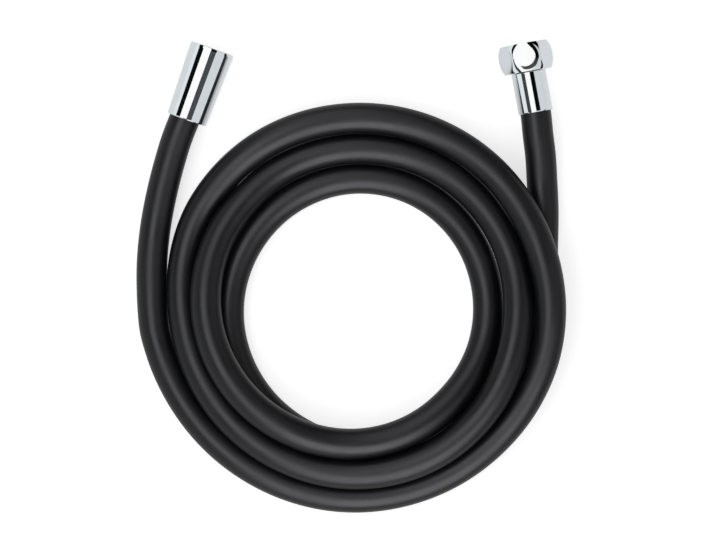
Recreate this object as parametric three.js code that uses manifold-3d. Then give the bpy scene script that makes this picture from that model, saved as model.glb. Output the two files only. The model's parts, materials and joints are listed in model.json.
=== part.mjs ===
// A shower hose lying loosely coiled on a flat surface: a smooth black hose of two metres in three
// and a half turns, with a hexagonal union nut at the tap's end and a long conical union nut at the
// handset's end. Millimetres, +Z up, the hose resting on Z = 0.
import * as THREE from "three";
import Module from "manifold-3d";
import { mergeVertices } from "three/addons/utils/BufferGeometryUtils.js";

const wasm = await Module();
wasm.setup();

// Driving dimensions
const clearance = 0.3; // between pieces that touch or turn in each other
const hose = { outer: 16, bore: 10, sides: 12 };
const thread = { minor: 18.63 }; // bore of the G 1/2 thread in both nuts
const washer = { thickness: 2, hole: 10.5 };
const tail = {
  flange: 2, // thickness of the flange that the nut pulls on
  flangeGap: 0.615, // from the flange to the nuts' bore, which lets the tail sit a little askew
  neck: 13, // diameter where the nut's shoulder turns on it
  neckGap: 0.5, // from the neck to the shoulder's hole
  neckLength: 3.1,
  stem: 20, // length of the barbed stem inside the hose
  bore: 7,
  barbs: 4,
  barbDepth: 0.4,
};
const ferrule = { wall: 0.65, lip: 1.2, edge: 0.5, hexLength: 21, coneLength: 13 };
const hexNut = {
  length: 14.7,
  acrossFlats: 25.2,
  belly: 28.4, // largest diameter of the turned barrel
  end: 24.6, // diameter of the barrel at both ends
  shoulder: 2.6,
  float: 0.3, // slack between the shoulder and the tail's flange
};
const coneNut = {
  length: 39.3,
  mouth: 23.5, // outer diameter at the open end
  bevel: 0.5,
  bevelLength: 1.4,
  socket: 13.1, // depth from the open end to the shoulder
  shoulder: 2,
  float: 0.7, // slack, which lets the tail sit a little askew
  skirtGap: 1.05, // from the ferrule to the skirt, so that the tail can sit askew
  skirtWall: 0.6, // at the rear, where the hose comes out
};
const round = 48; // segments around a turned piece

// Places, about the middle of the coil
const coilCentre = new THREE.Vector2(4.6, -18.3); // puts the origin under the middle of the part
const hexPlace = { mouth: new THREE.Vector2(84.7, 138.5), turn: 10.4 };
const conePlace = { mouth: new THREE.Vector2(-76.2, 136.1), turn: -20, askew: -2.2, droop: 0.6 };

// The coil: angle in degrees, clockwise seen from above and counted from +X, then the radius and
// the height of the hose's middle. Where two turns cross, the upper one rides over the lower.
const floorHeight = hose.outer / 2;
const firstTurn = [
  [-19.5, 100.8, floorHeight], [-10, 95.6, floorHeight], [0, 91.7, floorHeight],
  [15, 85.4, floorHeight], [30, 80.3, floorHeight], [60, 75.1, floorHeight],
  [90, 72.5, floorHeight], [120, 69.9, floorHeight], [150, 68.4, floorHeight],
  [180, 67.9, floorHeight], [210, 67.7, floorHeight], [240, 68.2, floorHeight],
  [270, 68.8, floorHeight], [300, 68.7, floorHeight], [330, 67.8, floorHeight], [345, 67.2, 8.4],
];
const innerTurn = [
  [360, 66.8, 10.2], [375, 66.5, 12.6], [390, 66.1, 16.4], [405, 66.0, 20.3], [420, 66.6, 22.8],
  [450, 68.5, 24.8], [480, 71.2, 27.4], [510, 75.1, 27.8], [540, 79.2, 25.2], [570, 82.0, 18.4],
  [585, 82.6, 15.8], [600, 83.7, 13.7], [630, 84.3, 13.4], [660, 84.4, 13.7], [690, 83.7, 15.3],
  [705, 83.0, 17.8],
];
const middleTurn = [
  [720, 82.2, 21.8], [735, 81.9, 24.3], [750, 82.3, 24.6], [765, 82.8, 23.5], [780, 83.4, 22.4],
  [810, 84.2, 20.2], [840, 85.4, 18.8], [870, 87.8, 17.5], [885, 89.4, 15.6], [900, 91.4, 13.5],
  [915, 94.4, 11.6], [930, 97.2, 11.8], [945, 98.7, 14.9], [960, 99.5, 17.9], [990, 99.8, 18.4],
  [1020, 99.9, 18.8], [1035, 99.7, 20.4], [1050, 99.1, 22.9], [1065, 98.8, 24.7],
];
const outerTurn = [
  [1080, 98.8, 23.2], [1095, 98.5, 19.9], [1110, 97.6, 15.9], [1125, 96.7, 12.4],
  [1140, 96.3, 9.8], [1155, 96.2, 8.4], [1170, 96.6, floorHeight], [1200, 98.3, floorHeight],
  [1230, 101.8, floorHeight], [1245, 104.4, floorHeight], [1260, 107.6, floorHeight],
];
const stationAngle = 15; // between two sections of the coil

// The loose runs between the coil and the two fittings, from the hex end to the cone end
const hexRun = [
  [92.5, 91.2, 11.6], [93.8, 80.8, 10.2], [94.6, 67.9, 8.7], [95.3, 52.3, floorHeight],
];
const coneRun = [
  [-107.7, 20.2, floorHeight], [-106.0, 42.0, floorHeight], [-101.9, 63.7, 8.5],
  [-96.0, 85.3, 9.5], [-93.1, 93.5, 10.0],
];

// Turned pieces: a closed outline of [radius, height] turned about the local Y axis, which runs
// from the hose towards the open end of the fitting
function turned(outline, segments = round) {
  const points = outline.map(([radius, height]) => new THREE.Vector2(radius, height));
  return new THREE.LatheGeometry([...points, points[0].clone()], segments);
}

// The same for an outline that starts and ends on the axis
function solidOfRevolution(outline) {
  const points = outline.map(([radius, height]) => new THREE.Vector2(radius, height));
  return new THREE.LatheGeometry(points, round);
}

// Solids for the cuts
function toSolid(geometry) {
  const plain = geometry.index ? geometry.toNonIndexed() : geometry.clone();
  plain.deleteAttribute("normal");
  plain.deleteAttribute("uv");
  const merged = mergeVertices(plain, 1e-4);
  return new wasm.Manifold(new wasm.Mesh({
    numProp: 3,
    vertProperties: new Float32Array(merged.attributes.position.array),
    triVerts: new Uint32Array(merged.index.array),
  }));
}

function toGeometry(solid) {
  const mesh = solid.getMesh();
  const geometry = new THREE.BufferGeometry();
  geometry.setAttribute("position", new THREE.BufferAttribute(mesh.vertProperties, 3));
  geometry.setIndex(new THREE.BufferAttribute(mesh.triVerts, 1));
  geometry.computeVertexNormals();
  return geometry;
}

// The tail: flange, neck and barbed stem, bored through. Height 0 is the back of the flange, and
// the hose lies below it.
const neckEnd = -tail.neckLength;
const ferruleFront = neckEnd - clearance;
const hoseEnd = ferruleFront - ferrule.lip - clearance;
const stemEnd = neckEnd - tail.stem;
const boreFlat = (hose.bore / 2) * Math.cos(Math.PI / hose.sides); // to the bore's nearest facet

function tailGeometry() {
  const boreRadius = tail.bore / 2;
  const flangeRadius = thread.minor / 2 - tail.flangeGap;
  const crest = boreFlat - clearance;
  const root = crest - tail.barbDepth;
  const pitch = (hoseEnd - stemEnd) / tail.barbs;
  const barbShoulder = 0.6; // where a barb drops from its crest to the stem
  const outline = [[boreRadius, tail.flange], [boreRadius, stemEnd]];
  for (let barb = 0; barb < tail.barbs; barb += 1) {
    const low = stemEnd + pitch * barb;
    const crestHeight = low + pitch - barbShoulder;
    outline.push([root, low], [crest, crestHeight], [root, crestHeight + barbShoulder / 2]);
  }
  outline.push(
    [root, neckEnd], [tail.neck / 2, neckEnd], [tail.neck / 2, 0],
    [flangeRadius, 0], [flangeRadius, tail.flange],
  );
  return turned(outline, 40);
}

// The ferrule: a thin sleeve crimped over the hose, with a lip caught behind the tail's neck
const ferruleInside = hose.outer / 2 + clearance;
const ferruleOutside = ferruleInside + ferrule.wall;

function ferruleGeometry(length) {
  const inside = ferruleInside;
  const outside = ferruleOutside;
  const lipHole = boreFlat;
  const rear = ferruleFront - length;
  return turned([
    [inside, rear], [outside, rear], [outside, ferruleFront - ferrule.edge],
    [outside - ferrule.edge, ferruleFront], [lipHole, ferruleFront],
    [lipHole, ferruleFront - ferrule.lip], [inside, ferruleFront - ferrule.lip],
  ]);
}

// The rubber washer that lies in the nut in front of the tail's flange
function washerGeometry(float) {
  const low = float + tail.flange + float;
  const high = low + washer.thickness;
  const inner = washer.hole / 2;
  const outer = thread.minor / 2 - clearance;
  return turned([[inner, low], [outer, low], [outer, high], [inner, high]], 40);
}

const neckHole = tail.neck / 2 + tail.neckGap; // radius of the hole in both nuts' shoulders

// The hexagonal nut: a barrel turned to an arc, with six flats cut on it, so that each flat ends
// in a round edge; height 0 is the front of its shoulder
function hexNutGeometry() {
  const rear = -hexNut.shoulder;
  const front = rear + hexNut.length;
  const half = hexNut.length / 2;
  const rise = (hexNut.belly - hexNut.end) / 2;
  const arcRadius = (half * half + rise * rise) / (2 * rise);
  const arcSteps = 10;
  const barrel = [[0, rear]];
  for (let step = 0; step <= arcSteps; step += 1) {
    const along = -half + (hexNut.length * step) / arcSteps;
    const radius = hexNut.belly / 2 - arcRadius + Math.sqrt(arcRadius ** 2 - along ** 2);
    barrel.push([radius, rear + half + along]);
  }
  barrel.push([0, front]);
  const corner = hexNut.acrossFlats / Math.sqrt(3);
  const hexagon = new THREE.Shape();
  for (let side = 0; side < 6; side += 1) {
    const angle = (side * Math.PI) / 3;
    const point = [corner * Math.cos(angle), corner * Math.sin(angle)];
    if (side === 0) hexagon.moveTo(...point);
    else hexagon.lineTo(...point);
  }
  hexagon.closePath();
  const beyond = 1;
  const prism = new THREE.ExtrudeGeometry(hexagon, {
    depth: hexNut.length + 2 * beyond, bevelEnabled: false,
  });
  prism.rotateX(-Math.PI / 2);
  prism.translate(0, rear - beyond, 0);
  const boreRadius = thread.minor / 2;
  const bore = solidOfRevolution([
    [0, rear - beyond], [neckHole, rear - beyond], [neckHole, 0], [boreRadius, 0],
    [boreRadius, front + beyond], [0, front + beyond],
  ]);
  const body = toSolid(solidOfRevolution(barrel)).intersect(toSolid(prism));
  return toGeometry(body.subtract(toSolid(bore)));
}

// The conical nut: one long turned sleeve, threaded at its wide end, with a thin skirt that
// hides the ferrule; height 0 is the front of its shoulder
const skirtInside = ferruleOutside + coneNut.skirtGap;
const coneRear = skirtInside + coneNut.skirtWall;

function coneNutGeometry() {
  const front = coneNut.socket;
  const rear = front - coneNut.length;
  const mouth = coneNut.mouth / 2;
  const boreRadius = thread.minor / 2;
  return turned([
    [skirtInside, rear], [coneRear, rear],
    [mouth, front - coneNut.bevelLength], [mouth - coneNut.bevel, front],
    [boreRadius, front], [boreRadius, 0], [neckHole, 0], [neckHole, -coneNut.shoulder],
    [skirtInside, -coneNut.shoulder],
  ]);
}

// The hose: one section at each point of its route, so that the sections of neighbouring turns
// lie side by side
class Route extends THREE.CatmullRomCurve3 {
  getPointAt(share, target) {
    return this.getPoint(share, target);
  }

  getTangentAt(share, target) {
    return this.getTangent(share, target);
  }
}

function coilPoints() {
  const knots = [...firstTurn, ...innerTurn, ...middleTurn, ...outerTurn];
  const angles = knots.map(([angle]) => angle);
  const values = knots.flatMap(([, radius, height]) => [radius, height]);
  const between = new THREE.CubicInterpolant(angles, values, 2);
  const points = [];
  for (let angle = angles[0]; angle <= angles.at(-1); angle += stationAngle) {
    const [radius, height] = between.evaluate(angle);
    const turn = THREE.MathUtils.degToRad(-angle);
    points.push(new THREE.Vector3(
      radius * Math.cos(turn), radius * Math.sin(turn), Math.max(height, floorHeight),
    ));
  }
  return points;
}

function polygon(diameter, sides) {
  const corners = [];
  for (let side = 0; side < sides; side += 1) {
    const angle = (2 * Math.PI * side) / sides;
    corners.push(new THREE.Vector2(Math.cos(angle), Math.sin(angle)).multiplyScalar(diameter / 2));
  }
  return corners;
}

function hoseGeometry(points) {
  const section = new THREE.Shape(polygon(hose.outer, hose.sides));
  section.holes.push(new THREE.Path(polygon(hose.bore, hose.sides)));
  return new THREE.ExtrudeGeometry(section, {
    steps: points.length - 1, extrudePath: new Route(points),
  });
}

// Finishes
const blackPlastic = new THREE.MeshStandardMaterial({ color: 0x1c1c1f, roughness: 0.42 });
const chrome = new THREE.MeshStandardMaterial({ color: 0xd9dadb, roughness: 0.06, metalness: 1 });
const brass = new THREE.MeshStandardMaterial({ color: 0xb8995a, roughness: 0.3, metalness: 1 });
const rubber = new THREE.MeshStandardMaterial({ color: 0x202020, roughness: 0.8 });

function piece(name, geometry, material) {
  const mesh = new THREE.Mesh(geometry, material);
  mesh.name = name;
  return mesh;
}

// A fitting: its nut's group, and the tail's group inside it, with the pieces that go with each
function fitting(end, nut, nutGeometry, ferruleLength) {
  const nutGroup = new THREE.Group();
  const tailGroup = new THREE.Group();
  tailGroup.position.y = nut.float;
  nutGroup.add(piece(`${end}_nut`, nutGeometry, chrome));
  nutGroup.add(piece(`${end}_washer`, washerGeometry(nut.float), rubber));
  tailGroup.add(piece(`${end}_tail`, tailGeometry(), brass));
  tailGroup.add(piece(`${end}_ferrule`, ferruleGeometry(ferruleLength), chrome));
  nutGroup.add(tailGroup);
  return { nutGroup, tailGroup, ferruleRear: ferruleFront - ferruleLength };
}

// Lays a fitting down: its mouth at a place on the floor's plan, its axis at a height, tilted up
// towards the mouth and turned about the vertical
function layDown({ nutGroup }, place, mouthDepth, height, tilt) {
  const turn = THREE.MathUtils.degToRad(place.turn);
  nutGroup.rotation.set(tilt, 0, turn, "ZXY");
  const axis = new THREE.Vector3(0, 1, 0).applyEuler(nutGroup.rotation);
  nutGroup.position.set(place.mouth.x, place.mouth.y, height).addScaledVector(axis, -mouthDepth);
}

const hexEnd = fitting("hex", hexNut, hexNutGeometry(), ferrule.hexLength);
layDown(hexEnd, hexPlace, hexNut.length - hexNut.shoulder, hexNut.acrossFlats / 2, 0);

// The conical nut lies on its side, so its axis rises towards its wider mouth
const coneEnd = fitting("cone", coneNut, coneNutGeometry(), ferrule.coneLength);
const coneSlope = (coneNut.mouth / 2 - coneRear) / (coneNut.length - coneNut.bevelLength);
const coneTilt = Math.atan(coneSlope);
const mouthHeight = (coneNut.mouth / 2 + coneNut.bevelLength * coneSlope) * Math.cos(coneTilt);
layDown(coneEnd, conePlace, coneNut.socket, mouthHeight, coneTilt);
coneEnd.tailGroup.rotation.set(
  THREE.MathUtils.degToRad(conePlace.droop), 0, THREE.MathUtils.degToRad(conePlace.askew), "ZXY",
);

const model = new THREE.Group();
model.add(hexEnd.nutGroup, coneEnd.nutGroup);
model.updateMatrixWorld(true);

// The hose runs straight and in line with its tail over the stem and inside the ferrule
function straightRun({ tailGroup, ferruleRear }) {
  const last = Math.min(ferruleRear, stemEnd) - clearance;
  const heights = [hoseEnd, (hoseEnd + last) / 2, last];
  return heights.map((height) => tailGroup.localToWorld(new THREE.Vector3(0, height, 0)));
}

const hosePoints = [
  ...straightRun(hexEnd),
  ...hexRun.map((point) => new THREE.Vector3(...point)),
  ...coilPoints(),
  ...coneRun.map((point) => new THREE.Vector3(...point)),
  ...straightRun(coneEnd).reverse(),
];
model.add(piece("hose", hoseGeometry(hosePoints), blackPlastic));
model.position.set(coilCentre.x, coilCentre.y, 0);

export default model;
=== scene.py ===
import json
import math

import bpy
import numpy as np
from mathutils import Matrix, Vector


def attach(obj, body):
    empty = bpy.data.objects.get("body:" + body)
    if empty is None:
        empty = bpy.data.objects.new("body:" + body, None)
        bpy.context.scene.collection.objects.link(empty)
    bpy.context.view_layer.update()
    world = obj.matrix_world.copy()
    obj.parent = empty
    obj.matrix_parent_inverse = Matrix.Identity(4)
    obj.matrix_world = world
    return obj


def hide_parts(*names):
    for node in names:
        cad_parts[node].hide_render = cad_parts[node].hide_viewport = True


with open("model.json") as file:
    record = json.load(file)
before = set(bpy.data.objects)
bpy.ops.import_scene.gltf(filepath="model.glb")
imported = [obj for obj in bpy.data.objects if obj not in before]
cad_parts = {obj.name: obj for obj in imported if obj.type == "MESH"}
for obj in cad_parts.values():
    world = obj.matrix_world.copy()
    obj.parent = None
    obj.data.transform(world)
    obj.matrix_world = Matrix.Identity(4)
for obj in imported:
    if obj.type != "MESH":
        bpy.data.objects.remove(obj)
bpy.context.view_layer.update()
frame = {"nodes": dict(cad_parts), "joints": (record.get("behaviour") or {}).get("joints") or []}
print("frame loaded:", sorted(frame["nodes"]))

mm = 0.001


# Colours are written as sRGB hex and turned to the linear values that shaders use
def hexToLinear(code):
    code = code.lstrip("#")
    channels = [int(code[i:i + 2], 16) / 255 for i in (0, 2, 4)]
    linear = [c / 12.92 if c <= 0.04045 else ((c + 0.055) / 1.055) ** 2.4 for c in channels]
    return (*linear, 1.0)


# Camera: straight above, far away with a long lens, so there is almost no perspective
cameraSettings = {
    "height": 4.0,
    "sensorWidth": 36.0,
    "viewWidth": 0.3709,  # width of the floor that the picture shows
    "aimHeight": 0.012,  # height above the floor where that width is measured
    "aim": (0.00382, 0.00294),
    "farthest": 50,
}


def makeCamera(settings):
    data = bpy.data.cameras.new("camera")
    data.sensor_width = settings["sensorWidth"]
    distance = settings["height"] - settings["aimHeight"]
    data.lens = settings["sensorWidth"] * distance / settings["viewWidth"]
    data.clip_end = settings["farthest"]
    camera = bpy.data.objects.new("camera", data)
    camera.location = (*settings["aim"], settings["height"])
    bpy.context.scene.collection.objects.link(camera)
    bpy.context.scene.camera = camera


makeCamera(cameraSettings)
print("camera set")

# Places of the two fittings: local Y runs along the fitting towards its mouth, and height 0 is
# the front of the nut's shoulder, where its joint sits
tailPose = {
    "hex": {"float": 0.3 * mm, "askew": 0.0, "droop": 0.0},
    "cone": {"float": 0.7 * mm, "askew": -2.2, "droop": 0.6},
}


def nutPlace(end):
    joint = next(j for j in frame["joints"] if j["name"] == end + "_nut_turn")
    along = Vector(joint["axis"]).normalized()
    side = along.cross(Vector((0, 0, 1))).normalized()
    up = side.cross(along)
    turn = Matrix((side, along, up)).transposed().to_4x4()
    return Matrix.Translation(joint["pos_m"]) @ turn


def tailPlace(end):
    pose = tailPose[end]
    askew = Matrix.Rotation(math.radians(pose["askew"]), 4, "Z")
    droop = Matrix.Rotation(math.radians(pose["droop"]), 4, "X")
    return nutPlace(end) @ Matrix.Translation((0, pose["float"], 0)) @ askew @ droop


# The hose's route, the CAD's own to a tenth of a millimetre: (angle clockwise from +X in degrees,
# radius, height) about the middle of the coil, then the loose runs to the fittings as (x, y, z)
coilCentre = (0.0046, -0.0183)
hoseSettings = {
    "diameter": 0.016,
    "bore": 0.010,
    "sides": 36,
    "ringSpacing": 0.003,
    "edgeRound": 0.0004,
    "coilStep": 5,  # degrees between the coil's points
}
floorHeight = hoseSettings["diameter"] / 2
firstTurn = [
    (-19.5, 0.1008, 0.008), (-10, 0.0956, 0.008), (0, 0.0917, 0.008), (15, 0.0854, 0.008),
    (30, 0.0803, 0.008), (60, 0.0751, 0.008), (90, 0.0725, 0.008), (120, 0.0699, 0.008),
    (150, 0.0684, 0.008), (180, 0.0679, 0.008), (210, 0.0677, 0.008), (240, 0.0682, 0.008),
    (270, 0.0688, 0.008), (300, 0.0687, 0.008), (330, 0.0678, 0.008), (345, 0.0672, 0.0084),
]
innerTurn = [
    (360, 0.0668, 0.0102), (375, 0.0665, 0.0126), (390, 0.0661, 0.0164), (405, 0.0660, 0.0203),
    (420, 0.0666, 0.0228), (450, 0.0685, 0.0248), (480, 0.0712, 0.0274), (510, 0.0751, 0.0278),
    (540, 0.0792, 0.0252), (570, 0.0820, 0.0184), (585, 0.0826, 0.0158), (600, 0.0837, 0.0137),
    (630, 0.0843, 0.0134), (660, 0.0844, 0.0137), (690, 0.0837, 0.0153), (705, 0.0830, 0.0178),
]
middleTurn = [
    (720, 0.0822, 0.0218), (735, 0.0819, 0.0243), (750, 0.0823, 0.0246), (765, 0.0828, 0.0235),
    (780, 0.0834, 0.0224), (810, 0.0842, 0.0202), (840, 0.0854, 0.0188), (870, 0.0878, 0.0175),
    (885, 0.0894, 0.0156), (900, 0.0914, 0.0135), (915, 0.0944, 0.0116), (930, 0.0972, 0.0118),
    (945, 0.0986, 0.0149), (960, 0.0995, 0.0179), (990, 0.0998, 0.0184), (1020, 0.0999, 0.0188),
    (1035, 0.0997, 0.0204), (1050, 0.0991, 0.0229), (1065, 0.0988, 0.0247),
]
outerTurn = [
    (1080, 0.0988, 0.0232), (1095, 0.0985, 0.0199), (1110, 0.0976, 0.0159),
    (1125, 0.0967, 0.0124), (1140, 0.0963, 0.0098), (1155, 0.0962, 0.0084),
    (1170, 0.0966, 0.008), (1200, 0.0983, 0.008), (1230, 0.1018, 0.008),
    (1245, 0.1044, 0.008), (1260, 0.1076, 0.008),
]
hexRun = [
    (0.0925, 0.0912, 0.0116), (0.0938, 0.0808, 0.0102), (0.0946, 0.0679, 0.0087),
    (0.0953, 0.0523, 0.008),
]
coneRun = [
    (-0.1077, 0.0202, 0.008), (-0.1060, 0.0420, 0.008), (-0.1019, 0.0637, 0.0085),
    (-0.0960, 0.0853, 0.0095), (-0.0931, 0.0935, 0.0100),
]
straightRuns = {  # heights on each tail's axis between which the hose runs straight
    "hex": (-4.9 * mm, -24.7 * mm),
    "cone": (-4.9 * mm, -23.4 * mm),
}


# Radius and height at one angle, on a smooth curve through the knots
def smoothBetween(knots, angle):
    angles = [k[0] for k in knots]
    at = min(max(np.searchsorted(angles, angle, side="right") - 1, 0), len(knots) - 2)
    span = angles[at + 1] - angles[at]
    share = (angle - angles[at]) / span
    values = np.array([k[1:] for k in knots])

    def slope(i):
        before = (values[i] - values[i - 1]) / (angles[i] - angles[i - 1]) if i > 0 else None
        last = i == len(knots) - 1
        after = None if last else (values[i + 1] - values[i]) / (angles[i + 1] - angles[i])
        if before is None:
            return after
        return before if after is None else (before + after) / 2

    a, b = values[at], values[at + 1]
    ma, mb = slope(at) * span, slope(at + 1) * span
    s2, s3 = share ** 2, share ** 3
    return ((2 * s3 - 3 * s2 + 1) * a + (s3 - 2 * s2 + share) * ma
            + (3 * s2 - 2 * s3) * b + (s3 - s2) * mb)


def coilPoints():
    knots = firstTurn + innerTurn + middleTurn + outerTurn
    points = []
    for angle in np.arange(knots[0][0], knots[-1][0], hoseSettings["coilStep"]):
        radius, height = smoothBetween(knots, angle)
        turn = math.radians(-angle)
        points.append((coilCentre[0] + radius * math.cos(turn),
                       coilCentre[1] + radius * math.sin(turn), max(height, floorHeight)))
    return points


def straightRun(end):
    top, bottom = straightRuns[end]
    place = tailPlace(end)
    return [tuple(place @ Vector((0, h, 0))) for h in (top, (top + bottom) / 2, bottom)]


def fromCoil(points):
    return [(coilCentre[0] + x, coilCentre[1] + y, z) for x, y, z in points]


# A smooth curve through all the points, with a point every few millimetres
def smoothPath(points, spacing, stepsBetween=12):
    points = [np.array(p) for p in points]
    ends = [2 * points[0] - points[1], *points, 2 * points[-1] - points[-2]]
    fine = []
    for p0, p1, p2, p3 in zip(ends, ends[1:], ends[2:], ends[3:]):
        d0, d1, d2 = (math.sqrt(np.linalg.norm(b - a)) for a, b in ((p0, p1), (p1, p2), (p2, p3)))
        m1 = ((p1 - p0) / d0 - (p2 - p0) / (d0 + d1) + (p2 - p1) / d1) * d1
        m2 = ((p2 - p1) / d1 - (p3 - p1) / (d1 + d2) + (p3 - p2) / d2) * d1
        for share in np.linspace(0, 1, stepsBetween, endpoint=False):
            s2, s3 = share ** 2, share ** 3
            fine.append((2 * s3 - 3 * s2 + 1) * p1 + (s3 - 2 * s2 + share) * m1
                        + (3 * s2 - 2 * s3) * p2 + (s3 - s2) * m2)
    fine.append(points[-1])
    fine = np.array(fine)
    travelled = np.concatenate([[0], np.cumsum(np.linalg.norm(np.diff(fine, axis=0), axis=1))])
    count = max(2, round(travelled[-1] / spacing))
    wanted = np.linspace(0, travelled[-1], count + 1)
    path = np.stack([np.interp(wanted, travelled, fine[:, i]) for i in range(3)], axis=1)
    path[:, 2] = np.maximum(path[:, 2], floorHeight)
    return path


# A closed mesh from rows of points: each row closes on itself, and the last one joins the first
def gridMesh(name, rows, material, uvSize):
    rows = np.asarray(rows)
    count, around = rows.shape[:2]
    vertices = rows.reshape(-1, 3)
    faces = []
    uvs = []
    for row in range(count):
        above = (row + 1) % count
        for side in range(around):
            beside = (side + 1) % around
            faces.append((row * around + side, row * around + beside,
                          above * around + beside, above * around + side))
            uLow, uHigh = side / around * uvSize[0], (side + 1) / around * uvSize[0]
            vLow, vHigh = row / count * uvSize[1], (row + 1) / count * uvSize[1]
            uvs.extend([(uLow, vLow), (uHigh, vLow), (uHigh, vHigh), (uLow, vHigh)])
    mesh = bpy.data.meshes.new(name)
    mesh.from_pydata(vertices.tolist(), [], faces)
    layer = mesh.uv_layers.new(name="surface")
    layer.data.foreach_set("uv", np.array(uvs, np.float32).ravel())
    mesh.shade_smooth()
    mesh.materials.append(material)
    piece = bpy.data.objects.new(name, mesh)
    bpy.context.scene.collection.objects.link(piece)
    return piece


# Frames along a path that don't twist: a side and an up vector at each point
def pathFrames(path):
    tangents = np.gradient(path, axis=0)
    tangents /= np.linalg.norm(tangents, axis=1)[:, None]
    sides = []
    side = np.cross(tangents[0], (0, 0, 1))
    for tangent in tangents:
        side = side - tangent * side.dot(tangent)
        side = side / np.linalg.norm(side)
        sides.append(side)
    sides = np.array(sides)
    return tangents, sides, np.cross(sides, tangents)


def makeHose(material):
    s = hoseSettings
    points = [*straightRun("hex"), *fromCoil(hexRun), *coilPoints(), *fromCoil(coneRun),
              *reversed(straightRun("cone"))]
    path = smoothPath(points, s["ringSpacing"])
    tangents, sides, ups = pathFrames(path)
    angles = np.linspace(0, 2 * math.pi, s["sides"], endpoint=False)
    outer, inner, edge = s["diameter"] / 2, s["bore"] / 2, s["edgeRound"]
    bevel = edge * 0.3  # the middle step of each rounded rim

    def ring(i, radius, shift=0.0):
        centre = path[i] + tangents[i] * shift
        around = np.cos(angles)[:, None] * sides[i] + np.sin(angles)[:, None] * ups[i]
        return centre + radius * around

    last = len(path) - 1
    rows = [ring(0, outer - edge), ring(0, outer - bevel, bevel), ring(0, outer, edge)]
    rows += [ring(i, outer) for i in range(1, last)]
    rows += [ring(last, outer, -edge), ring(last, outer - bevel, -bevel)]
    rows += [ring(last, outer - edge), ring(last, inner + edge), ring(last, inner, -edge)]
    rows += [ring(i, inner) for i in range(last - 1, 0, -1)]
    rows += [ring(0, inner, edge), ring(0, inner + edge)]
    length = float(np.linalg.norm(np.diff(path, axis=0), axis=1).sum())
    hose = gridMesh("coiledHose", rows, material, uvSize=(math.pi * s["diameter"], 2 * length))
    makeNormalsPointOut(hose)
    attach(hose, "hose_body")
    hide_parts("hose")
    return hose, path, length


# An outline of (radius, height, rounding) corners, with each corner rounded off and a point
# held close on both sides of it, so that the faces between shade flat
def roundedOutline(corners, hold=0.12 * mm, steps=5):
    nearlyStraight = math.radians(179)
    longestShare = 0.45  # of a side that one rounding may take up
    roomForHold = 2.5  # a side this many times longer than rounding and hold gets a held point
    points = []
    for i, (radius, height, rounding) in enumerate(corners):
        corner = np.array((radius, height))
        before = np.array(corners[i - 1][:2]) - corner
        after = np.array(corners[(i + 1) % len(corners)][:2]) - corner
        lengthBefore, lengthAfter = np.linalg.norm(before), np.linalg.norm(after)
        before, after = before / lengthBefore, after / lengthAfter
        between = math.acos(max(-1, min(1, before.dot(after))))
        if rounding == 0 or between > nearlyStraight:
            points.append(corner)
            continue
        back = min(rounding / math.tan(between / 2),
                   longestShare * lengthBefore, longestShare * lengthAfter)
        real = back * math.tan(between / 2)
        inward = (before + after) / np.linalg.norm(before + after)
        middle = corner + inward * real / math.sin(between / 2)
        start, end = corner + before * back, corner + after * back
        if lengthBefore > roomForHold * (back + hold):
            points.append(corner + before * (back + hold))
        first = math.atan2(*(start - middle)[::-1])
        sweep = (math.atan2(*(end - middle)[::-1]) - first + math.pi) % (2 * math.pi) - math.pi
        for step in range(steps + 1):
            angle = first + sweep * step / steps
            points.append(middle + real * np.array((math.cos(angle), math.sin(angle))))
        if lengthAfter > roomForHold * (back + hold):
            points.append(corner + after * (back + hold))
    return points


# A turned piece: the outline swept round the local Y axis. reshape may change the radius with
# the angle, as flats or a thread do
def turnedPiece(name, place, outline, material, segments=144, reshape=None):
    angles = np.linspace(0, 2 * math.pi, segments, endpoint=False)
    rows = []
    for radius, height in outline:
        radii = np.full(segments, radius)
        if reshape is not None:
            radii = reshape(radius, height, angles)
        local = np.stack([radii * np.cos(angles), np.full(segments, height),
                          radii * np.sin(angles)], axis=1)
        rows.append(local @ np.array(place.to_3x3()).T + np.array(place.translation))
    travelled = sum(math.dist(a, b) for a, b in zip(outline, outline[1:]))
    size = (2 * math.pi * max(r for r, h in outline), travelled)
    piece = gridMesh(name, rows, material, uvSize=size)
    makeNormalsPointOut(piece)
    return piece


def makeNormalsPointOut(piece):
    mesh = piece.data
    mesh.calc_loop_triangles()
    corners = np.array([[mesh.vertices[v].co for v in t.vertices] for t in mesh.loop_triangles])
    volume = np.einsum("ij,ij->i", corners[:, 0], np.cross(corners[:, 1], corners[:, 2])).sum()
    if volume < 0:
        mesh.flip_normals()


# The thread that the nuts are cut with
threadSettings = {
    "minor": 18.63 * mm,
    "major": 20.96 * mm,
    "pitch": 1.814 * mm,
    "rowsPerPitch": 10,
    "runOut": 0.8 * mm,  # the thread fades away over this much at both ends
}


def threadRadius(height, angles, low, high):
    s = threadSettings
    turn = height / s["pitch"] - angles / (2 * math.pi)
    wave = 0.5 - 0.5 * np.cos(2 * math.pi * turn)
    fade = min(1.0, max(0.0, min(height - low, high - height) / s["runOut"]))
    depth = (s["major"] - s["minor"]) / 2
    return s["minor"] / 2 + depth * fade * wave


def threadRows(low, high):
    s = threadSettings
    count = math.ceil((high - low) / s["pitch"] * s["rowsPerPitch"])
    return [(s["minor"] / 2, high + (low - high) * (i + 1) / (count + 1)) for i in range(count)]


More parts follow.
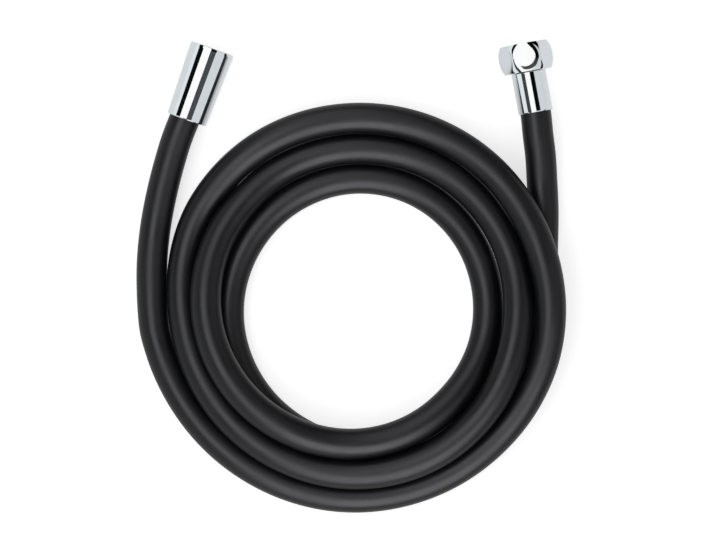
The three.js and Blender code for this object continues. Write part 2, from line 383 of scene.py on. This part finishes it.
hexNutSettings = {
    "length": 14.7 * mm,
    "acrossFlats": 25.2 * mm,
    "belly": 28.4 * mm,
    "end": 24.6 * mm,
    "shoulder": 2.6 * mm,
    "neckHole": 14.0 * mm,
    "threadStart": 1.6 * mm,  # above the shoulder
    "threadStop": 0.8 * mm,  # below the mouth
    "flatsReach": 1.2 * mm,  # how far inside the flats the flats still shape the metal
    "edgeSoftness": 0.32 * mm,  # how far polishing has rounded the flats' edges
    "endRound": 0.35 * mm,
    "rows": 44,
    "segments": 216,
}
coneNutSettings = {
    "length": 39.3 * mm,
    "mouth": 23.5 * mm,
    "rear": 21.2 * mm,
    "bevel": 0.25 * mm,
    "bevelLength": 1.4 * mm,
    "rearBevel": 0.25 * mm,
    "rearBevelLength": 0.45 * mm,
    "socket": 13.1 * mm,
    "shoulder": 2.0 * mm,
    "neckHole": 14.0 * mm,
    "skirtBore": 20.0 * mm,
    "threadStart": 1.6 * mm,
    "threadStop": 0.9 * mm,
    "segments": 240,
}


def makeHexNut(material):
    s = hexNutSettings
    rear, front = -s["shoulder"], s["length"] - s["shoulder"]
    half, rise = s["length"] / 2, (s["belly"] - s["end"]) / 2
    arcRadius = (half ** 2 + rise ** 2) / (2 * rise)
    minor = threadSettings["minor"] / 2
    low, high = s["threadStart"], front - s["threadStop"]
    outside = []
    for i in range(s["rows"] + 1):
        along = -half * math.cos(math.pi * i / s["rows"])
        radius = s["belly"] / 2 - arcRadius + math.sqrt(arcRadius ** 2 - along ** 2)
        outside.append((radius, rear + half + along))
    # both ends of the barrel are rounded into the end faces, and every hole has a small chamfer
    rounding = s["endRound"]
    endFace = front + 0.05 * mm
    mouth = [
        (outside[-1][0] - rounding * 0.3, front + 0.02 * mm), (outside[-1][0] - rounding, endFace),
        (minor + 1.6 * mm, endFace), (minor + 1.3 * mm, front + 0.04 * mm),
        (minor + 1.1 * mm, front - 0.08 * mm), (minor + 0.1 * mm, front - 0.75 * mm),
    ]
    hole = s["neckHole"] / 2
    inside = [
        (minor, s["threadStart"] - 0.1 * mm), (minor, 0.3 * mm), (minor - 0.1 * mm, 0.08 * mm),
        (minor - 0.3 * mm, 0), (hole + 0.3 * mm, 0), (hole + 0.1 * mm, -0.1 * mm),
        (hole, -0.3 * mm), (hole, rear + 0.4 * mm), (hole + 0.1 * mm, rear + 0.1 * mm),
        (hole + 0.4 * mm, rear), (outside[0][0] - rounding, rear),
    ]
    outline = outside + mouth + threadRows(low, high) + inside
    flat = s["acrossFlats"] / 2
    soft = s["edgeSoftness"]

    def reshape(radius, height, angles):
        if low < height < high and abs(radius - minor) < 1e-6:
            return threadRadius(height, angles, low, high)
        if radius < flat - s["flatsReach"]:
            return np.full(len(angles), radius)
        # the angle to the nearest flat: one faces up, and there is one every sixth of a turn
        away = (angles + math.pi / 6 - math.pi / 2) % (math.pi / 3) - math.pi / 6
        toFlat = flat / np.cos(away)
        nearest = np.minimum(radius, toFlat)
        spread = np.exp((nearest - radius) / soft) + np.exp((nearest - toFlat) / soft)
        return nearest - soft * np.log(spread)

    nut = turnedPiece("hexUnionNut", nutPlace("hex"), outline, material, s["segments"], reshape)
    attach(nut, "hex_nut_body")
    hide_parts("hex_nut")
    return nut


def makeConeNut(material):
    s = coneNutSettings
    front, rear = s["socket"], s["socket"] - s["length"]
    minor = threadSettings["minor"] / 2
    low, high = s["threadStart"], front - s["threadStop"]
    mouth = s["mouth"] / 2
    hole, skirt = s["neckHole"] / 2, s["skirtBore"] / 2
    onBore = 0.02 * mm  # nearer to the minor radius than this, a point lies on the bore
    corners = [
        (s["rear"] / 2 - s["rearBevel"], rear, 0.08 * mm),
        (s["rear"] / 2, rear + s["rearBevelLength"], 0.1 * mm),
        (mouth, front - s["bevelLength"], 0.5 * mm),
        (mouth - s["bevel"], front, 0.25 * mm), (minor + 0.9 * mm, front, 0.15 * mm),
        (minor, front - 0.8 * mm, 0.1 * mm),
    ]
    back = [
        (minor, 0, 0.2 * mm), (hole, 0, 0.2 * mm), (hole, -s["shoulder"], 0.2 * mm),
        (skirt, -s["shoulder"], 0.4 * mm), (skirt, rear, 0.15 * mm),
    ]
    rounded = roundedOutline(corners + back)
    split = next(i for i, (r, h) in enumerate(rounded) if h < high and r < minor + onBore)
    outline = rounded[:split] + threadRows(low, high) + [p for p in rounded[split:] if p[1] < low]

    def reshape(radius, height, angles):
        if low < height < high and abs(radius - minor) < onBore:
            return threadRadius(height, angles, low, high)
        return np.full(len(angles), radius)

    nut = turnedPiece("coneUnionNut", nutPlace("cone"), outline, material, s["segments"], reshape)
    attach(nut, "cone_nut_body")
    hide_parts("cone_nut")
    return nut


innerSegments = 96  # around the tails and washers, which hardly show

tailSettings = {
    "flange": 2.0 * mm,
    "flangeRadius": 8.7 * mm,
    "neckRadius": 6.5 * mm,
    "neckLength": 3.1 * mm,
    "bore": 3.5 * mm,
    "stemEnd": -23.1 * mm,
    "crest": 4.53 * mm,
    "root": 4.13 * mm,
    "barbs": 4,
    "hoseEnd": -4.9 * mm,
}


def makeTail(end, material):
    s = tailSettings
    pitch = (s["hoseEnd"] - s["stemEnd"]) / s["barbs"]
    corners = [(s["bore"], s["flange"], 0.3 * mm), (s["bore"], s["stemEnd"], 0.15 * mm)]
    for barb in range(s["barbs"]):
        low = s["stemEnd"] + pitch * barb
        corners += [(s["root"], low, 0.1 * mm), (s["crest"], low + pitch - 0.6 * mm, 0.08 * mm),
                    (s["root"], low + pitch - 0.3 * mm, 0.08 * mm)]
    corners += [
        (s["root"], -s["neckLength"], 0.2 * mm), (s["neckRadius"], -s["neckLength"], 0.2 * mm),
        (s["neckRadius"], 0, 0.2 * mm), (s["flangeRadius"], 0, 0.2 * mm),
        (s["flangeRadius"], s["flange"], 0.3 * mm),
    ]
    tail = turnedPiece(end + "BrassTail", tailPlace(end), roundedOutline(corners), material,
                       innerSegments)
    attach(tail, "hose_body")
    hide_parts(end + "_tail")
    return tail


ferruleSettings = {
    "inside": 8.3 * mm,
    "wall": 0.65 * mm,
    "front": -3.2 * mm,
    "rearBevel": 0.25 * mm,
    "rearBevelLength": 0.45 * mm,
    "lip": 1.2 * mm,
    "lipHole": 4.83 * mm,
    "length": {"hex": 21.2 * mm, "cone": 13.2 * mm},
}


def makeFerrule(end, material):
    s = ferruleSettings
    rear = s["front"] - s["length"][end]
    outside = s["inside"] + s["wall"]
    corners = [
        (s["inside"], rear, 0.1 * mm), (outside - s["rearBevel"], rear, 0.08 * mm),
        (outside, rear + s["rearBevelLength"], 0.1 * mm),
        (outside, s["front"], 0.25 * mm), (s["lipHole"], s["front"], 0.2 * mm),
        (s["lipHole"], s["front"] - s["lip"], 0.2 * mm),
        (s["inside"], s["front"] - s["lip"], 0.3 * mm),
    ]
    ferrule = turnedPiece(end + "CrimpFerrule", tailPlace(end), roundedOutline(corners), material)
    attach(ferrule, "hose_body")
    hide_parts(end + "_ferrule")
    return ferrule


washerSettings = {
    "thickness": 2.0 * mm,
    "hole": 5.25 * mm,
    "outside": 9.015 * mm,
    "edge": 0.25 * mm,
}


def makeWasher(end, material):
    s = washerSettings
    low = 2 * tailPose[end]["float"] + tailSettings["flange"]
    high = low + s["thickness"]
    corners = [(s["hole"], low, s["edge"]), (s["outside"], low, s["edge"]),
               (s["outside"], high, s["edge"]), (s["hole"], high, s["edge"])]
    washer = turnedPiece(end + "RubberWasher", nutPlace(end), roundedOutline(corners), material,
                       innerSegments)
    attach(washer, end + "_nut_body")
    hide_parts(end + "_washer")
    return washer


# Adds one node to a material or world, sets its values and makes its links
def addNode(tree, kind, settings=None, links=None):
    node = tree.nodes.new(kind)
    for name, value in (settings or {}).items():
        if isinstance(name, int) or name in node.inputs:
            node.inputs[name].default_value = value
        else:
            setattr(node, name, value)
    for name, source in (links or {}).items():
        tree.links.new(source, node.inputs[name])
    return node


def newMaterial(name):
    material = bpy.data.materials.new(name)
    material.use_nodes = True
    tree = material.node_tree
    tree.nodes.clear()
    return material, tree


# A finish that drifts softly between two colours and between two roughnesses
def cloudedFinish(tree, place, look, detail):
    cloudy = addNode(tree, "ShaderNodeTexNoise", {"Scale": 1 / look["cloudWidth"], "Detail": detail},
                     {"Vector": place.outputs["Object"]})
    first, second = (hexToLinear(code) for code in look["colours"])
    colour = addNode(tree, "ShaderNodeMix", {"data_type": "RGBA", 6: first, 7: second},
                     {0: cloudy.outputs["Fac"]})
    smoother, rougher = look["roughness"]
    rough = addNode(tree, "ShaderNodeMapRange",
                    {"From Min": 0.3, "From Max": 0.7, "To Min": smoother, "To Max": rougher},
                    {"Value": cloudy.outputs["Fac"]})
    return colour.outputs[2], rough.outputs["Result"]


# Extruded soft PVC, black right through: a satin skin straight from the die, with a fine grain
# and faint draw lines along the hose, so its highlights are broad and quiet
pvcLook = {
    "colours": ("#08080b", "#0d0d11"),
    "cloudWidth": 14 * mm,
    "roughness": (0.36, 0.44),
    "ior": 1.53,
    "specular": 0.22,
    "grainWidth": 0.9 * mm,  # the real grain is finer, and is drawn this coarse to show
    "drawLineWidth": 0.5 * mm,
}


def makeSatinPvc():
    look = pvcLook
    material, tree = newMaterial("satin extruded PVC")
    place = addNode(tree, "ShaderNodeTexCoord")
    colour, rough = cloudedFinish(tree, place, look, 3.0)
    grain = addNode(tree, "ShaderNodeTexNoise", {"Scale": 1 / look["grainWidth"], "Detail": 2.0},
                    {"Vector": place.outputs["Object"]})
    stretch = addNode(tree, "ShaderNodeMapping", {"Scale": (1 / look["drawLineWidth"], 4.0, 1.0)},
                      {"Vector": place.outputs["UV"]})
    lines = addNode(tree, "ShaderNodeTexNoise", {"Scale": 1.0, "Detail": 1.0},
                    {"Vector": stretch.outputs["Vector"]})
    fine = addNode(tree, "ShaderNodeBump", {"Strength": 0.35, "Distance": 0.02 * mm},
                   {"Height": grain.outputs["Fac"]})
    drawn = addNode(tree, "ShaderNodeBump", {"Strength": 0.3, "Distance": 0.02 * mm},
                    {"Height": lines.outputs["Fac"], "Normal": fine.outputs["Normal"]})
    shader = addNode(tree, "ShaderNodeBsdfPrincipled",
                     {"IOR": look["ior"], "Specular IOR Level": look["specular"]},
                     {"Base Color": colour, "Roughness": rough, "Normal": drawn.outputs["Normal"]})
    addNode(tree, "ShaderNodeOutputMaterial", links={"Surface": shader.outputs["BSDF"]})
    return material


# Bright chromium plate over polished brass: a hard mirror with a cool tint and the faintest
# cloudiness where it has been wiped
chromeLook = {
    "colours": ("#dce1e5", "#d0d5da"),
    "cloudWidth": 6 * mm,
    "roughness": (0.035, 0.075),
}


def makeChromePlate():
    look = chromeLook
    material, tree = newMaterial("bright chromium plate")
    place = addNode(tree, "ShaderNodeTexCoord")
    colour, rough = cloudedFinish(tree, place, look, 3.0)
    shader = addNode(tree, "ShaderNodeBsdfPrincipled", {"Metallic": 1.0},
                     {"Base Color": colour, "Roughness": rough})
    addNode(tree, "ShaderNodeOutputMaterial", links={"Surface": shader.outputs["BSDF"]})
    return material


# Free-cutting brass, turned on a lathe and left bare: warm yellow, with fine tool rings
brassLook = {
    "colours": ("#b9985a", "#96783f"),
    "cloudWidth": 4 * mm,
    "roughness": (0.22, 0.36),
    "ringPitch": 0.3 * mm,
}


def makeTurnedBrass():
    look = brassLook
    material, tree = newMaterial("turned brass")
    place = addNode(tree, "ShaderNodeTexCoord")
    colour, rough = cloudedFinish(tree, place, look, 4.0)
    stretch = addNode(tree, "ShaderNodeMapping", {"Scale": (20.0, 1 / look["ringPitch"], 1.0)},
                      {"Vector": place.outputs["UV"]})
    rings = addNode(tree, "ShaderNodeTexNoise", {"Scale": 1.0, "Detail": 2.0},
                    {"Vector": stretch.outputs["Vector"]})
    turned = addNode(tree, "ShaderNodeBump", {"Strength": 0.5, "Distance": 0.02 * mm},
                     {"Height": rings.outputs["Fac"]})
    shader = addNode(tree, "ShaderNodeBsdfPrincipled", {"Metallic": 1.0},
                     {"Base Color": colour, "Roughness": rough, "Normal": turned.outputs["Normal"]})
    addNode(tree, "ShaderNodeOutputMaterial", links={"Surface": shader.outputs["BSDF"]})
    return material


# Moulded nitrile rubber: black, dull and slightly dusty
rubberLook = {
    "colours": ("#1d1d1e", "#2b2b2c"),
    "roughness": 0.72,
    "ior": 1.52,
    "grainWidth": 0.35 * mm,
}


def makeRubber():
    look = rubberLook
    material, tree = newMaterial("moulded nitrile rubber")
    place = addNode(tree, "ShaderNodeTexCoord")
    grain = addNode(tree, "ShaderNodeTexNoise", {"Scale": 1 / look["grainWidth"], "Detail": 4.0},
                    {"Vector": place.outputs["Object"]})
    clean, dusty = (hexToLinear(code) for code in look["colours"])
    colour = addNode(tree, "ShaderNodeMix", {"data_type": "RGBA", 6: clean, 7: dusty},
                     {0: grain.outputs["Fac"]})
    bumpy = addNode(tree, "ShaderNodeBump", {"Strength": 0.5, "Distance": 0.03 * mm},
                    {"Height": grain.outputs["Fac"]})
    shader = addNode(tree, "ShaderNodeBsdfPrincipled",
                     {"IOR": look["ior"], "Roughness": look["roughness"]},
                     {"Base Color": colour.outputs[2], "Normal": bumpy.outputs["Normal"]})
    addNode(tree, "ShaderNodeOutputMaterial", links={"Surface": shader.outputs["BSDF"]})
    return material


satinPvc = makeSatinPvc()
chromePlate = makeChromePlate()
turnedBrass = makeTurnedBrass()
nitrileRubber = makeRubber()
print("materials made")

hose, hosePath, hoseLength = makeHose(satinPvc)
print("hose made:", round(hoseLength, 3), "m")
hexNut = makeHexNut(chromePlate)
coneNut = makeConeNut(chromePlate)
fittings = [hexNut, coneNut]
for end in ("hex", "cone"):
    fittings += [makeTail(end, turnedBrass), makeFerrule(end, chromePlate), makeWasher(end, nitrileRubber)]
print("fittings made:", [piece.name for piece in fittings])

# Floor and light
floorSettings = {
    "size": 12.0,
    "white": "#e6e6e6",
    "lift": 0.66,  # brings the floor up to white where the camera sees it
    "mirroredLift": 0.42,  # and as pale surroundings where a shiny surface mirrors it
}
fillStrength = 0.32  # plain light from all round
# Area lamps that face the middle of the floor: azimuth from +X towards +Y, tilt from straight up
lampSettings = {
    "leftSoftbox": {"azimuth": 200, "tilt": 25, "distance": 1.6, "size": (1.2, 1.5), "radiance": 1.7},
    "rightSoftbox": {"azimuth": 0, "tilt": 50, "distance": 1.6, "size": (1.2, 1.4), "radiance": 0.6},
}
# Softboxes that only the hose's satin skin mirrors: overhead, in front and behind
sheenColour = "#f5f5ff"
sheenSettings = {
    "sheenAbove": {"azimuth": 184, "tilt": 21, "distance": 1.6, "size": (0.8, 1.3), "radiance": 4.3},
    "sheenInFront": {"azimuth": 276, "tilt": 51, "distance": 1.6, "size": (1.5, 1.5), "radiance": 6.2},
    "sheenBehind": {"azimuth": 106, "tilt": 49, "distance": 1.6, "size": (1.5, 1.5), "radiance": 1.1},
}
# What shiny surfaces mirror of the studio, as bands between two angles from straight up towards
# +X. The bands lean: their edges are given where they pass in front of straight up, and behind
# it. Each has its colour and strength at some angles from straight up towards +Y
bandLean = (-5, 2)  # angles towards +Y between which the edges slide from front to behind
studioBands = {
    "paleWall": {"front": (-91, -52), "behind": (-91, -66.5), "along": [
        (-90, "#f1f6f3", 1.2), (90, "#f1f6f3", 1.2)]},
    "leftGap": {"front": (-52, -25), "behind": (-66.5, -40.5), "along": [
        (-90, "#f4f8ff", 0.075), (-4, "#f4f8ff", 0.075), (1, "#f4f8ff", 0.006), (90, "#f4f8ff", 0.006)]},
    "leftSoftbox": {"front": (-25, -3.5), "behind": (-40.5, 5.5), "along": [
        (-78, "#fffaf5", 0.0), (-72, "#fffaf5", 1.43), (70, "#fffaf5", 1.43), (76, "#fffaf5", 0.0)]},
    "ceiling": {"front": (-3.5, 24.5), "behind": (5.5, 34), "along": [
        (-78, "#ffffff", 0.0), (-75, "#fffaf5", 1.3), (-20, "#fffaf5", 1.3), (-17, "#f4f8ff", 0.095),
        (-3, "#f4f8ff", 0.095), (1, "#f4f8ff", 0.004), (90, "#f4f8ff", 0.0)]},
    "rightSoftbox": {"front": (24.5, 76), "behind": (34, 80), "along": [
        (-78, "#ffffff", 0.0), (-72, "#fafcfc", 0.95), (48, "#fafcfc", 0.95), (54, "#ffffff", 0.0)]},
    "farWall": {"front": (76, 91), "behind": (80, 91), "along": [
        (-90, "#ffffff", 0.0), (0, "#ffffff", 0.0), (5, "#fafcfc", 0.9), (90, "#fafcfc", 0.9)]},
}


def makeFloor():
    s = floorSettings
    half = s["size"] / 2
    mesh = bpy.data.meshes.new("floor")
    corners = [(-half, -half, 0), (half, -half, 0), (half, half, 0), (-half, half, 0)]
    mesh.from_pydata(corners, [], [(0, 1, 2, 3)])
    floor = bpy.data.objects.new("floor", mesh)
    bpy.context.scene.collection.objects.link(floor)
    material, tree = newMaterial("white paper floor")
    path = addNode(tree, "ShaderNodeLightPath")
    seen = addNode(tree, "ShaderNodeMath", {"operation": "MULTIPLY", 1: s["lift"]},
                   {0: path.outputs["Is Camera Ray"]})
    inMirror = addNode(tree, "ShaderNodeMath", {"operation": "MAXIMUM"},
                       {0: path.outputs["Is Glossy Ray"], 1: path.outputs["Is Transmission Ray"]})
    lift = addNode(tree, "ShaderNodeMath", {"operation": "MULTIPLY_ADD", 1: s["mirroredLift"]},
                   {0: inMirror.outputs[0], 2: seen.outputs[0]})
    shader = addNode(tree, "ShaderNodeBsdfPrincipled",
                     {"Base Color": hexToLinear(s["white"]), "Roughness": 0.9,
                      "Specular IOR Level": 0.0, "Emission Color": (1, 1, 1, 1)},
                     {"Emission Strength": lift.outputs[0]})
    addNode(tree, "ShaderNodeOutputMaterial", links={"Surface": shader.outputs["BSDF"]})
    mesh.materials.append(material)


# The mirrored studio: each band is a step across and a colour ramp along
def makeStudioBands(tree):
    place = addNode(tree, "ShaderNodeTexCoord")
    toward = addNode(tree, "ShaderNodeSeparateXYZ", links={0: place.outputs["Generated"]})
    across, along = (addNode(tree, "ShaderNodeMath", {"operation": "ARCTAN2"},
                             {0: toward.outputs[axis], 1: toward.outputs["Z"]}) for axis in "XY")
    alongShare = addNode(tree, "ShaderNodeMapRange",
                         {"From Min": -math.pi / 2, "From Max": math.pi / 2}, {"Value": along.outputs[0]})
    total = None
    for band in studioBands.values():
        low, high = (addNode(tree, "ShaderNodeMapRange", {
            "From Min": math.radians(bandLean[0]), "From Max": math.radians(bandLean[1]),
            "To Min": math.radians(front), "To Max": math.radians(behind),
        }, {"Value": along.outputs[0]}) for front, behind in zip(band["front"], band["behind"]))
        above = addNode(tree, "ShaderNodeMath", {"operation": "GREATER_THAN"},
                        {0: across.outputs[0], 1: low.outputs["Result"]})
        below = addNode(tree, "ShaderNodeMath", {"operation": "LESS_THAN"},
                        {0: across.outputs[0], 1: high.outputs["Result"]})
        inside = addNode(tree, "ShaderNodeMath", {"operation": "MULTIPLY"},
                         {0: above.outputs[0], 1: below.outputs[0]})
        ramp = addNode(tree, "ShaderNodeValToRGB", links={0: alongShare.outputs["Result"]})
        steps = ramp.color_ramp.elements
        brightest = max(strength for angle, colour, strength in band["along"])
        while len(steps) < len(band["along"]):
            steps.new(0.5)
        for step, (angle, colour, strength) in zip(steps, band["along"]):
            step.position = angle / 180 + 0.5
            step.color = (*(c * strength / brightest for c in hexToLinear(colour)[:3]), 1.0)
        share = addNode(tree, "ShaderNodeMath", {"operation": "MULTIPLY", 1: brightest},
                        {0: inside.outputs[0]})
        lit = addNode(tree, "ShaderNodeVectorMath", {"operation": "SCALE"},
                      {0: ramp.outputs["Color"], "Scale": share.outputs[0]})
        if total is None:
            total = lit
        else:
            total = addNode(tree, "ShaderNodeVectorMath", {"operation": "ADD"},
                            {0: total.outputs[0], 1: lit.outputs[0]})
    return total.outputs[0]


def makeWorld():
    world = bpy.data.worlds.new("studio")
    world.use_nodes = True
    world.cycles.sampling_method = "NONE"
    bpy.context.scene.world = world
    tree = world.node_tree
    tree.nodes.clear()
    bands = makeStudioBands(tree)
    fill = addNode(tree, "ShaderNodeBackground", {"Color": (1, 1, 1, 1), "Strength": fillStrength})
    mirrored = addNode(tree, "ShaderNodeBackground", {"Strength": 1.0}, {"Color": bands})
    white = addNode(tree, "ShaderNodeBackground", {"Color": (1, 1, 1, 1), "Strength": 1.0})
    path = addNode(tree, "ShaderNodeLightPath")
    inMirror = addNode(tree, "ShaderNodeMixShader", links={
        0: path.outputs["Is Glossy Ray"], 1: fill.outputs[0], 2: mirrored.outputs[0]})
    seen = addNode(tree, "ShaderNodeMixShader", links={
        0: path.outputs["Is Camera Ray"], 1: inMirror.outputs[0], 2: white.outputs[0]})
    addNode(tree, "ShaderNodeOutputWorld", links={"Surface": seen.outputs[0]})


def makeLamp(name, s):
    tilt, azimuth = math.radians(s["tilt"]), math.radians(s["azimuth"])
    direction = Vector((math.sin(tilt) * math.cos(azimuth), math.sin(tilt) * math.sin(azimuth),
                        math.cos(tilt)))
    data = bpy.data.lights.new(name, "AREA")
    data.shape = "RECTANGLE"
    data.size, data.size_y = s["size"]
    data.energy = s["radiance"] * math.pi * s["size"][0] * s["size"][1]
    lamp = bpy.data.objects.new(name, data)
    lamp.location = direction * s["distance"]
    along = Vector((0, 1, 0))
    side = along.cross(direction).normalized()
    lamp.matrix_world = Matrix.Translation(lamp.location) @ Matrix(
        (side, direction.cross(side), direction)).transposed().to_4x4()
    lamp.visible_glossy = False
    bpy.context.scene.collection.objects.link(lamp)
    return lamp


# Gives the hose its highlights: lamps that are only mirrored, and only by the hose
def makeHoseSheen():
    hoseOnly = bpy.data.collections.new("hoseOnly")
    hoseOnly.objects.link(hose)
    for name, values in sheenSettings.items():
        lamp = makeLamp(name, values)
        lamp.data.color = hexToLinear(sheenColour)[:3]
        lamp.visible_glossy = True
        lamp.visible_diffuse = False
        lamp.light_linking.receiver_collection = hoseOnly


makeFloor()
makeWorld()
for lampName, lampValues in lampSettings.items():
    makeLamp(lampName, lampValues)
makeHoseSheen()
bpy.context.scene.view_settings.view_transform = "Standard"
print("floor and lights set")
